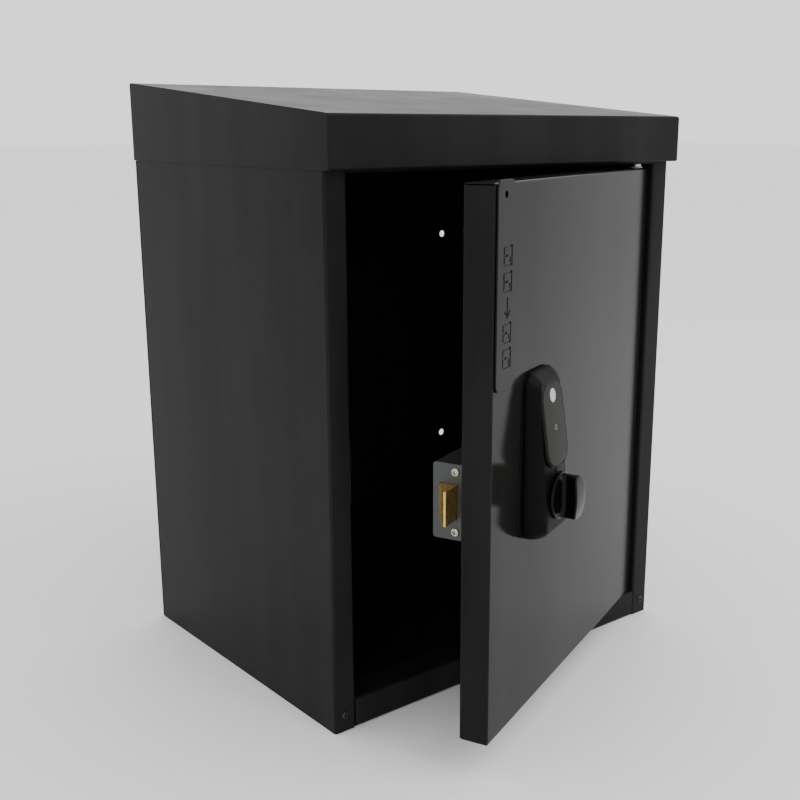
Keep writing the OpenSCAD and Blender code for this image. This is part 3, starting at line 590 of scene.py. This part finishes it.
class CoatSettings(bpy.types.PropertyGroup):
    """The powder coat on the sheet metal."""
    cabinet_colour: colour_prop("Cabinet colour", "Powder coat of the cabinet", (0.0105, 0.0108, 0.0105))
    door_colour: colour_prop("Door colour", "Powder coat of the door and its sign plate",
                             (0.0065, 0.0072, 0.0063))
    peel_scale: bpy.props.FloatProperty(name="Orange peel scale", description="Bumps of the coat per metre",
                                        default=620.0, min=50.0)
    peel_depth: length_prop("Orange peel depth", "Height of the coat's bumps", 0.00025)
    edge: length_prop("Broken edge", "Bevel on the sheets' cut edges", 0.00035)


class LockSettings(bpy.types.PropertyGroup):
    """The keypad lock on the outside of the door."""
    cover_colour: colour_prop("Cover colour", "Moulded cover and base", (0.003, 0.0031, 0.003))
    knob_colour: colour_prop("Knob colour", "Polished knob", (0.002, 0.002, 0.002))
    panel_colour: colour_prop("Panel colour", "Touch panel", (0.014, 0.0155, 0.013))
    shoulder: length_prop("Shoulder", "Rounding between the cover's side and its front", 0.0095)
    waist: length_prop("Knob waist", "Width of the knob's blade at its narrowest", 0.0125)


class LatchSettings(bpy.types.PropertyGroup):
    """The rim latch on the inside of the door."""
    case_colour: colour_prop("Case colour", "Lacquer on the latch case", (0.05, 0.053, 0.054))
    brass_colour: colour_prop("Brass colour", "The latch bolt", (0.72, 0.46, 0.12))


class StageSettings(bpy.types.PropertyGroup):
    """The floor, the lights and the camera."""
    floor_colour: colour_prop("Floor colour", "Plain pale floor", (0.86, 0.86, 0.86))
    sky: bpy.props.FloatProperty(name="Room light", description="Strength of the even light all round",
                                 default=1.5, min=0.0)
    key_power: bpy.props.FloatProperty(name="Key light", description="Power of the large soft light",
                                       default=30.0, min=0.0, subtype="POWER", unit="POWER")
    focal_length: bpy.props.FloatProperty(name="Focal length", description="The camera's lens", default=50.84,
                                          min=10.0, subtype="DISTANCE_CAMERA", unit="CAMERA")


SETTINGS = {"drop_box_coat": CoatSettings, "drop_box_lock": LockSettings,
            "drop_box_latch": LatchSettings, "drop_box_stage": StageSettings}


# ---- Pieces -----------------------------------------------------------------------------


class DROPBOX_OT_cabinet(bpy.types.Operator):
    """The cabinet's folded sheets, with their cut edges broken and powder coated"""
    bl_idname = "drop_box.cabinet"
    bl_label = "Cabinet sheets"

    sheets = ("side_panel_left", "side_panel_right", "back_panel", "base_pan", "head_rail", "roof_cover",
              "back_rail_left", "back_rail_right", "stop_strip")

    def execute(self, context):
        edge = context.scene.drop_box_coat.edge
        for node in self.sheets:
            softened(node, finish("cabinet_coat"), edge)
        softened("keep_bracket", finish("zinc"), edge)
        return {"FINISHED"}


class DROPBOX_OT_door(bpy.types.Operator):
    """The door's pan and liner, and the sign plate with its engraved marks"""
    bl_idname = "drop_box.door"
    bl_label = "Door sheets"

    def execute(self, context):
        edge = context.scene.drop_box_coat.edge
        softened("door_skin", finish("door_coat"), edge)
        softened("door_liner", finish("door_coat"), edge)
        softened("sign_plate", finish("sign_coat"), 0.45 * MM, 3)
        return {"FINISHED"}


class DROPBOX_OT_fixings(bpy.types.Operator):
    """The latch's screws with cross recesses, and the button heads at the foot of the stiles"""
    bl_idname = "drop_box.fixings"
    bl_label = "Screws"

    pan_radius, pan_height, recess, shank = 3.8 * MM, 1.6 * MM, 1.9 * MM, 2 * MM
    button_height = 2.0 * MM

    def heads(self, node, count, split):
        """The points of each of a node's like pieces, found by splitting them at the gaps along one axis."""
        points = node_points(node)
        order = np.argsort(points @ split)
        along = (points @ split)[order]
        cuts = np.argsort(np.diff(along))[::-1][:count - 1]
        groups = np.split(order, np.sort(cuts) + 1)
        return [points[g] for g in groups]

    def execute(self, context):
        out = -ACROSS
        parts = []
        for group in self.heads("face_screws", 2, UP):
            middle = (group.min(0) + group.max(0)) / 2
            top = (group @ out).max()
            centre = middle + out * (top - self.pan_height - middle @ out)
            parts.append(cross_head(centre, out, self.pan_radius, self.pan_height, self.recess,
                                    0.5 + 0.35 * len(parts)))
            parts.append(turned([(self.shank, -0.1 * MM), (self.shank, -11 * MM)], centre, out, 16))
        new_piece("face_screws_finished", *joined(parts), finish("nickel"), "door", "nickel",
                  ["face_screws"], 35)

        parts = []
        front = np.array([0.0, -1.0, 0.0])
        for group in self.heads("stile_screws", 2, np.array([1.0, 0, 0])):
            low, high = group.min(0), group.max(0)
            radius = (high[0] - low[0]) / 2
            centre = np.array([(low[0] + high[0]) / 2, low[1] + self.button_height, (low[2] + high[2]) / 2])
            parts.append(self.socket_head(centre, front, radius, self.button_height))
            shank = [(self.shank, 0.1 * MM), (self.shank, -(high[1] - centre[1]))]
            parts.append(turned(shank, centre, front, 16))
        new_piece("stile_screws_finished", *joined(parts), finish("fixing_black"), "cabinet", "black_fixings",
                  ["stile_screws"], 35)
        return {"FINISHED"}

    def socket_head(self, centre, out, radius, height):
        """A button head: a dome with a six-sided socket whose wall is where the distance to the nearest
        of six faces is its half width."""
        rings = np.concatenate([np.linspace(0.03, 0.6, 20), np.linspace(0.64, 1, 10)])
        a = np.linspace(0, 2 * math.pi, 96, endpoint=False)
        r, t = np.meshgrid(rings, a, indexing="ij")
        dome = height * (0.15 + 0.85 * np.sqrt(np.clip(1 - r**2.6, 0, 1)))
        sector = (t + math.pi / 6) % (math.pi / 3) - math.pi / 6
        hexagon = r * np.cos(sector)
        sink = height * 0.75 * np.clip((0.42 - hexagon) / 0.04, 0, 1)
        x, z = r * np.cos(t), r * np.sin(t)
        side = unit(np.cross(out, UP))
        top = centre + (dome - sink)[..., None] * out + radius * (x[..., None] * side + z[..., None] * UP)
        foot = centre + radius * (np.cos(a)[:, None] * side + np.sin(a)[:, None] * UP)
        return closed_skin(np.concatenate([top, foot[None]]))


class DROPBOX_OT_lock_cover(bpy.types.Operator):
    """The lock's moulded cover: a tapered crowned shell with a lip at the door and a dish for the knob"""
    bl_idname = "drop_box.lock_cover"
    bl_label = "Lock cover"

    def execute(self, context):
        look = context.scene.drop_box_lock
        low, high = door_box("lock_cover")
        points, faces = closed_skin(cover_rings(look, low, high))
        new_piece("lock_cover_finished", to_world(points), faces, finish("lock_plastic"), "door",
                  "lock_black", ["lock_cover"], 50)
        return {"FINISHED"}


COVER_SLOPE = math.tan(math.radians(8.27))
COVER_BEND = 26.4 * MM
COVER_CORNER = 14 * MM
COVER_TAPER = 8.4 * MM
COVER_CROWN = 0.9 * MM
PANEL_CORNER = 16 * MM


def cover_face(up, low, centre):
    """Depth of the cover's front at a height: level over the knob, then a straight fall to the brow,
    the two joined by a soft bend: depth = level + slope * softplus(up - bend)."""
    soft = 6 * MM
    past = np.clip((up - centre[2] - COVER_BEND) / soft, -40, 40)
    return low[1] + COVER_SLOPE * soft * np.log1p(np.exp(past))


def cover_rings(look, low, high):
    """The cover's rings: a tapered rounded outline with a lip at the door, carried out and round a soft
    shoulder whose inset is 1 - (1 - depth ** n) ** (1 / n), then over the crowned front to its middle."""
    centre = spot("outer_turn")
    foot_w = high[0] - low[0]
    top_w = foot_w - COVER_TAPER
    z0, z1 = low[2], high[2]
    corners = [(-foot_w / 2, z0), (foot_w / 2, z0), (top_w / 2, z1), (-top_w / 2, z1)]
    centres, directions = rounded(corners, COVER_CORNER, 60)
    turn = np.linspace(0, math.pi / 2, 16)
    lip = np.array([(0.4, 0.0), (0.0, 0.02), (0.0, 0.045), (0.35, 0.06), (0.35, 0.09), (0.1, 0.11),
                    (0.15, 0.2)])
    share = np.concatenate([lip[:, 1], 0.22 + 0.78 * np.sin(turn)])
    rise = np.clip(((centres + COVER_CORNER * directions)[..., 1] - z0) / (z1 - z0), 0, 1)
    power = 1.75 - 0.45 * rise
    round_off = look.shoulder * (1 - (1 - np.sin(turn)[:, None] ** power) ** (1 / power))
    inset = np.concatenate([np.repeat(lip[:, :1] * MM, len(rise), 1), 0.15 * MM + round_off])
    ring = centres + (COVER_CORNER - inset)[..., None] * directions
    middle = np.array([0.0, (z0 + z1) / 2])
    face = middle + (ring[-1] - middle) * np.linspace(0.99, 0.0, 76)[1:-1, None, None]
    outline = np.concatenate([ring, face])
    share = np.concatenate([share, np.ones(len(face))])
    crown = COVER_CROWN * (1 - (2 * np.abs(outline[..., 0]) / foot_w) ** 2)
    front = cover_face(outline[..., 1], low, centre) + COVER_CROWN - np.clip(crown, 0, None)
    depth = high[1] + (front - high[1]) * share[:, None]
    reach = np.hypot(outline[..., 0], outline[..., 1] - centre[2])
    dish = 0.7 * MM / (1 + np.exp((reach - 21.6 * MM) / (0.35 * MM)))
    depth = depth + np.where((share >= 0.999)[:, None], dish, 0)
    return np.stack([outline[..., 0] + centre[0], depth, outline[..., 1]], -1)


class DROPBOX_OT_touch_panel(bpy.types.Operator):
    """The touch panel with its outline groove, its light disc and a plain ring mark"""
    bl_idname = "drop_box.touch_panel"
    bl_label = "Touch panel"

    def execute(self, context):
        low, high = door_box("touch_panel")
        cover_low, cover_high = door_box("lock_cover")
        centre = spot("outer_turn")
        mid = (low + high) / 2
        corners = rectangle(high[0] - low[0], high[2] - low[2])
        profile = [(0.0, 1.6), (0.0, 0.1), (0.25, -0.1), (0.5, 0.0), (0.7, 1.0), (1.5, 1.0), (1.7, 0.0),
                   (2.05, -0.25)]
        rim = plate_rings(corners, PANEL_CORNER, [(i * MM, d * MM) for i, d in profile], 24)
        face = rim[-1] * np.linspace(0.98, 0.01, 60)[:, None, None]
        face[..., 1] = -0.3 * MM
        rings = np.concatenate([rim, face])
        x, z = rings[..., 0] + mid[0], rings[..., 2] + mid[2]
        crown = COVER_CROWN * (2 * np.abs(rings[..., 0]) / (cover_high[0] - cover_low[0])) ** 2
        y = cover_face(z, cover_low, centre) + crown + rings[..., 1]
        points, faces = closed_skin(np.stack([x, y, z], -1))
        new_piece("touch_panel_finished", to_world(points), faces, finish("panel_glass"), "door",
                  "panel_black", ["touch_panel"], 50)

        disc_low, disc_high = door_box("status_disc")
        disc = (disc_low + disc_high) / 2
        radius = (disc_high[0] - disc_low[0]) / 2
        face = cover_face(disc[2], cover_low, centre)
        profile = [(radius, 0.0), (radius, 0.4 * MM), (radius - 0.15 * MM, 0.5 * MM)]
        profile += [(radius * s, 0.55 * MM + 0.1 * MM * (1 - s * s)) for s in np.linspace(0.95, 0.02, 10)]
        spot_at = to_world([disc[0], face, disc[2]])
        points, faces = turned(profile, spot_at, UP * COVER_SLOPE - INWARD, 64)
        new_piece("status_disc_finished", points, faces, finish("light_disc"), "door", "disc_light",
                  ["status_disc"], 40)

        a = np.linspace(0, 2 * math.pi, 48, endpoint=False)
        mark_up = mid[2] - 3 * MM
        path = np.stack([mid[0] + 1.9 * MM * np.cos(a), np.zeros(48), mark_up + 2.2 * MM * np.sin(a)], -1)
        path[:, 1] = cover_face(path[:, 2], cover_low, centre) - 0.32 * MM
        b = np.linspace(0, 2 * math.pi, 8, endpoint=False)
        out = np.stack([np.cos(a), np.zeros(48), np.sin(a)], -1)
        sideways, lift = 0.16 * MM * np.cos(b)[:, None, None], 0.1 * MM * np.sin(b)[:, None, None]
        points, faces = looped_skin(path[None] + sideways * out + lift * [0, 1, 0])
        new_piece("panel_mark", to_world(points), faces, finish("light_disc"), "door", "disc_light")
        return {"FINISHED"}


def knob_rings(radius, foot, blade, waist, tip, power=3.4, bulge=0.0):
    """A knob's rings from its foot outwards: a round disc with a broken rim, then a blade with t from 0 to 1
    up its length, whose half width is waist + flare * exp(-height / 1.5 mm) + (tip - waist) * t ** 1.8, on
    outlines |x / width| ** n + |z / half height| ** n = 1 whose power n grows from 2 to `power`. The tip falls
    back by bulge * (z / radius) ** 2."""
    a = np.linspace(0, 2 * math.pi, 120, endpoint=False)
    cos, sin = np.cos(a), np.sin(a)
    disc = [(radius - 0.6 * MM, 0.0), (radius, 0.5 * MM), (radius, foot - 0.9 * MM),
            (radius - 0.25 * MM, foot - 0.35 * MM), (radius - 0.9 * MM, foot)]
    rings = [np.stack([r * cos, np.full(120, h), r * sin], -1) for r, h in disc]
    t = np.concatenate([np.linspace(0, 0.2, 12), np.linspace(0.22, 0.93, 24)])
    height = foot + t * blade
    flare = (radius - 1.2 * MM - waist) * np.exp(-t * blade / (1.5 * MM))
    width = waist + flare + (tip - waist) * np.clip((t - 0.15) / 0.78, 0, 1) ** 1.8
    tall = (radius - 1.2 * MM) - 0.9 * MM * t
    n = 2 + (power - 2) * np.clip(t / 0.2, 0, 1)
    edge = np.linspace(0, math.pi / 2, 8)[1:]
    cap_in = 1.1 * MM * (1 - np.cos(edge))
    cap_up = 0.07 * blade * np.sin(edge)
    width = np.concatenate([width, width[-1] - cap_in])
    tall = np.concatenate([tall, tall[-1] - cap_in])
    height = np.concatenate([height, height[-1] + cap_up])
    n = np.concatenate([n, np.full(7, power)])
    shrink = np.linspace(0.85, 0.03, 9)
    width = np.concatenate([width, width[-1] * shrink])
    tall = np.concatenate([tall, tall[-1] * shrink])
    height = np.concatenate([height, height[-1] + 0.2 * MM * (1 - shrink**2)])
    n = np.concatenate([n, np.full(9, power)])
    p = (2 / n)[:, None]
    x = width[:, None] * np.sign(cos) * np.abs(cos) ** p
    z = tall[:, None] * np.sign(sin) * np.abs(sin) ** p
    bow = bulge * np.clip((height - foot) / (0.8 * blade), 0, 1)[:, None] * (z / radius) ** 2
    blade_rings = np.stack([x, height[:, None] - bow, z], -1)
    return np.concatenate([np.array(rings), blade_rings])


class DROPBOX_OT_knobs(bpy.types.Operator):
    """The outer knob with its waisted blade, and the smaller knob inside the door"""
    bl_idname = "drop_box.knobs"
    bl_label = "Knobs"

    def execute(self, context):
        waist = context.scene.drop_box_lock.waist
        low, high = door_box("outer_knob")
        centre = spot("outer_turn")
        radius = (high[2] - low[2]) / 2
        disc, blade = 2.8 * MM, 17.5 * MM
        foot_at = low[1] + disc + blade
        rings = knob_rings(radius, disc, blade, waist / 2, 10.8 * MM, bulge=3.2 * MM)
        points, faces = closed_skin(rings)
        points[:, 1] = foot_at - points[:, 1]
        points[:, [0, 2]] += centre[[0, 2]]
        neck = turned([(9 * MM, 0.3 * MM), (9 * MM, -(high[1] - foot_at))],
                      to_world([centre[0], foot_at, centre[2]]), -INWARD, 48)
        new_piece("outer_knob_finished", *joined([(to_world(points), faces), neck]), finish("knob_plastic"),
                  "outer_knob", "knob_black", ["outer_knob"], 35)

        low, high = door_box("inner_knob")
        radius = (high[2] - low[2]) / 2
        disc, blade = 4 * MM, 16 * MM
        foot_at = high[1] - disc - blade
        rings = knob_rings(radius, disc, blade, 4.2 * MM, 5.2 * MM, 3.0)
        points, faces = closed_skin(rings)
        points[:, 1] = foot_at + points[:, 1]
        points[:, [0, 2]] += centre[[0, 2]]
        hub = turned([(8 * MM, 0.3 * MM), (8 * MM, -(foot_at - low[1]))],
                     to_world([centre[0], foot_at, centre[2]]), INWARD, 48)
        new_piece("inner_knob_finished", *joined([(to_world(points), faces), hub]), finish("lock_plastic"),
                  "inner_knob", "lock_black", ["inner_knob"], 35)
        return {"FINISHED"}


class DROPBOX_OT_latch(bpy.types.Operator):
    """The latch's pressed case with its end face, and the bevelled brass bolt"""
    bl_idname = "drop_box.latch"
    bl_label = "Rim latch"

    def execute(self, context):
        softened("latch_case", finish("case_lacquer"), 0.9 * MM, 4, angle=40)
        softened("latch_bolt", finish("brass"), 0.8 * MM, 3)
        return {"FINISHED"}


class DROPBOX_OT_battery_unit(bpy.types.Operator):
    """The battery tray, its sliding cover, and the cells with rounded shoulders"""
    bl_idname = "drop_box.battery_unit"
    bl_label = "Battery unit"

    def execute(self, context):
        softened("battery_tray", finish("lock_plastic"), 0.5 * MM)
        softened("battery_cover", finish("lock_plastic"), 1.2 * MM, 4)
        low, high = door_box("batteries")
        count = 4
        radius = (high[1] - low[1]) / 2
        pitch = (high[0] - low[0] - 2 * radius) / (count - 1)
        tall = high[2] - low[2]
        profile = [(radius - 1.2 * MM, 0), (radius - 0.3 * MM, 0.15 * MM), (radius, 0.9 * MM),
                   (radius, tall - 2.2 * MM), (radius - 0.4 * MM, tall - 1.5 * MM),
                   (radius - 1.4 * MM, tall - 1.2 * MM),
                   (2.8 * MM, tall - 1.25 * MM), (2.6 * MM, tall - 0.3 * MM), (2.3 * MM, tall)]
        parts = []
        for i in range(count):
            foot = to_world([low[0] + radius + i * pitch, (low[1] + high[1]) / 2, low[2]])
            parts.append(turned(profile, foot, UP, 48))
        new_piece("batteries_finished", *joined(parts), finish("cell_foil"), "door", "cell_wrap",
                  ["batteries"], 30)
        return {"FINISHED"}


class DROPBOX_OT_remaining(bpy.types.Operator):
    """Finishes for the CAD pieces whose shape stays as it is"""
    bl_idname = "drop_box.remaining"
    bl_label = "Other pieces"

    def execute(self, context):
        slots = {s["node"]: s["material_slot"] for s in frame["record"]["subparts"]}
        for node, piece in frame["nodes"].items():
            for slot in piece.material_slots:
                slot.material = finish(SLOT_FINISH[slots[node]])
        for slot in frame["nodes"]["return_spring"].material_slots:
            slot.material = finish("spring_steel")
        return {"FINISHED"}


class DROPBOX_OT_stage(bpy.types.Operator):
    """A plain pale floor, even room light, one large soft light and the camera"""
    bl_idname = "drop_box.stage"
    bl_label = "Stage"

    def execute(self, context):
        look = context.scene.drop_box_stage
        f = Finish("floor_paint", Base_Color=tuple(look.floor_colour), Roughness=0.6)
        fine = f.noise(30.0, 2.0, 0.5)
        f.feed(Roughness=fine.ramp(0.3, 0.7, 0.55, 0.65))
        x, y = np.meshgrid([-30.0, 30.0], [-30.0, 30.0], indexing="ij")
        points = np.stack([x, y, np.full(x.shape, -0.0005)], -1).reshape(-1, 3)
        mesh = bpy.data.meshes.new("floor")
        mesh.from_pydata(points.tolist(), [], [[0, 2, 3, 1]])
        floor = bpy.data.objects.new("floor", mesh)
        mesh.materials.append(f.material)
        context.scene.collection.objects.link(floor)

        world = bpy.data.worlds.new("room")
        context.scene.world = world
        world.use_nodes = True
        world.node_tree.nodes["Background"].inputs[0].default_value = (1, 1, 1, 1)
        world.node_tree.nodes["Background"].inputs[1].default_value = look.sky

        self.soft_light("key", (0.9, -2.0, 2.2), (0.2, -0.4, 0.1), 1.8, look.key_power)

        lens = bpy.data.cameras.new("camera")
        lens.sensor_width = 36
        lens.lens = look.focal_length
        lens.shift_x, lens.shift_y = CAMERA_SHIFT
        lens.clip_start, lens.clip_end = 0.05, 200
        camera = bpy.data.objects.new("camera", lens)
        context.scene.collection.objects.link(camera)
        camera.location = CAMERA_PLACE
        camera.rotation_euler = [math.radians(turn) for turn in CAMERA_TURN]
        context.scene.camera = camera
        return {"FINISHED"}

    def soft_light(self, name, place, target, size, power):
        data = bpy.data.lights.new(name, "AREA")
        data.shape, data.size, data.energy = "SQUARE", size, power
        lamp = bpy.data.objects.new(name, data)
        bpy.context.scene.collection.objects.link(lamp)
        lamp.location = place
        away = np.array(place, float) - np.array(target, float)
        flat = math.hypot(away[0], away[1])
        lamp.rotation_euler = (math.atan2(flat, away[2]), 0, math.atan2(away[0], -away[1]) if flat else 0)


class DROPBOX_PT_panel(bpy.types.Panel):
    """Sizes, colours and build steps of the drop box"""
    bl_idname = "DROPBOX_PT_panel"
    bl_label = "Parcel drop box"
    bl_space_type = "VIEW_3D"
    bl_region_type = "UI"
    bl_category = "Drop box"

    def draw(self, context):
        for name, group in SETTINGS.items():
            box = self.layout.box()
            for prop in group.__annotations__:
                box.prop(getattr(context.scene, name), prop)
        for step in STEPS:
            self.layout.operator(step.bl_idname)


STEPS = (DROPBOX_OT_remaining, DROPBOX_OT_cabinet, DROPBOX_OT_door, DROPBOX_OT_fixings,
         DROPBOX_OT_lock_cover, DROPBOX_OT_touch_panel, DROPBOX_OT_knobs, DROPBOX_OT_latch,
         DROPBOX_OT_battery_unit, DROPBOX_OT_stage)
CLASSES = (*SETTINGS.values(), *STEPS, DROPBOX_PT_panel)


def register():
    for cls in CLASSES:
        bpy.utils.register_class(cls)
    for name, group in SETTINGS.items():
        setattr(bpy.types.Scene, name, bpy.props.PointerProperty(type=group))


def unregister():
    for name in SETTINGS:
        delattr(bpy.types.Scene, name)
    for cls in reversed(CLASSES):
        bpy.utils.unregister_class(cls)


def main():
    register()
    for step in STEPS:
        group, call = step.bl_idname.split(".")
        getattr(getattr(bpy.ops, group), call)()


if __name__ == "__main__":
    main()
